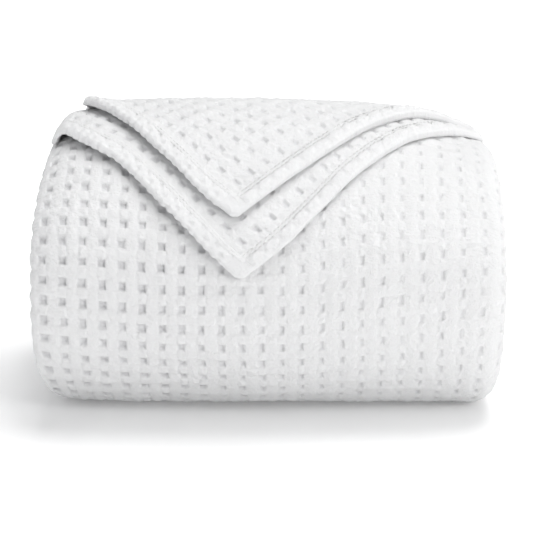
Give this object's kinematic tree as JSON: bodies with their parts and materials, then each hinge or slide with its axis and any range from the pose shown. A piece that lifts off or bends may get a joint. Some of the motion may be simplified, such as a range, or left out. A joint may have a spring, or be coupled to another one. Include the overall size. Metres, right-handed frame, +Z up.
{
  "type": "folded throw blanket",
  "caption": "White waffle-weave cotton throw folded into a plump bundle, with two hemmed corners of the cloth laid over its top.",
  "frame": {"origin": "under the middle of the bundle, on the surface that it lies on", "axes": "+X to the right along the front fold, +Y towards the back folds, +Z up"},
  "size_m": [0.318, 0.22, 0.2018],
  "materials": {
    "waffle_cotton": "matte",
    "inner_cotton": "matte",
    "hem_cotton": "matte",
    "sewing_thread": "matte"
  },
  "bodies": {
    "bundle": {"outer_fold_ply_1": "waffle_cotton", "outer_fold_ply_2": "inner_cotton", "outer_fold_ply_3": "inner_cotton", "outer_fold_ply_4": "inner_cotton", "second_fold_ply_1": "inner_cotton", "second_fold_ply_2": "inner_cotton", "second_fold_ply_3": "inner_cotton", "second_fold_ply_4": "inner_cotton", "third_fold_ply_1": "inner_cotton", "third_fold_ply_2": "inner_cotton", "third_fold_ply_3": "inner_cotton", "third_fold_ply_4": "inner_cotton", "core_fold_ply_1": "inner_cotton", "core_fold_ply_2": "inner_cotton", "core_fold_ply_3": "inner_cotton", "core_fold_ply_4": "inner_cotton", "high_back_fold_ply_1": "waffle_cotton", "high_back_fold_ply_2": "inner_cotton", "high_back_fold_ply_3": "inner_cotton", "high_back_fold_ply_4": "inner_cotton", "low_back_fold_ply_1": "waffle_cotton", "low_back_fold_ply_2": "inner_cotton", "low_back_fold_ply_3": "inner_cotton", "low_back_fold_ply_4": "inner_cotton", "inner_back_fold_ply_1": "inner_cotton", "inner_back_fold_ply_2": "inner_cotton", "inner_back_fold_ply_3": "inner_cotton", "inner_back_fold_ply_4": "inner_cotton", "lower_corner_wrap": "waffle_cotton", "lower_corner_back_panel": "waffle_cotton", "lower_corner_back_hem": "hem_cotton", "lower_corner_back_stitching": "sewing_thread", "upper_corner_wrap": "waffle_cotton", "upper_corner_back_panel": "waffle_cotton", "upper_corner_back_hems": "hem_cotton", "upper_corner_back_stitching": "sewing_thread"},
    "lower_corner": {"lower_corner_panel": "waffle_cotton", "lower_corner_side_hem": "hem_cotton", "lower_corner_end_hem": "hem_cotton", "lower_corner_stitching": "sewing_thread", "upper_corner_middle_panel": "waffle_cotton", "upper_corner_middle_hems": "hem_cotton", "upper_corner_middle_stitching": "sewing_thread"},
    "upper_corner": {"upper_corner_panel": "waffle_cotton", "upper_corner_side_hem": "hem_cotton", "upper_corner_end_hem": "hem_cotton", "upper_corner_stitching": "sewing_thread"}
  },
  "joints": [
    {"name": "lower_corner_fold", "type": "hinge", "parent": "bundle", "child": "lower_corner", "pos_m": [0, 0.0016, 0.1998], "axis": [-1, 0, 0], "range_deg": [0, 80]},
    {"name": "upper_corner_fold", "type": "hinge", "parent": "lower_corner", "child": "upper_corner", "pos_m": [0, -0.0284, 0.1937], "axis": [-1, 0, 0], "range_deg": [0, 100]}
  ]
}
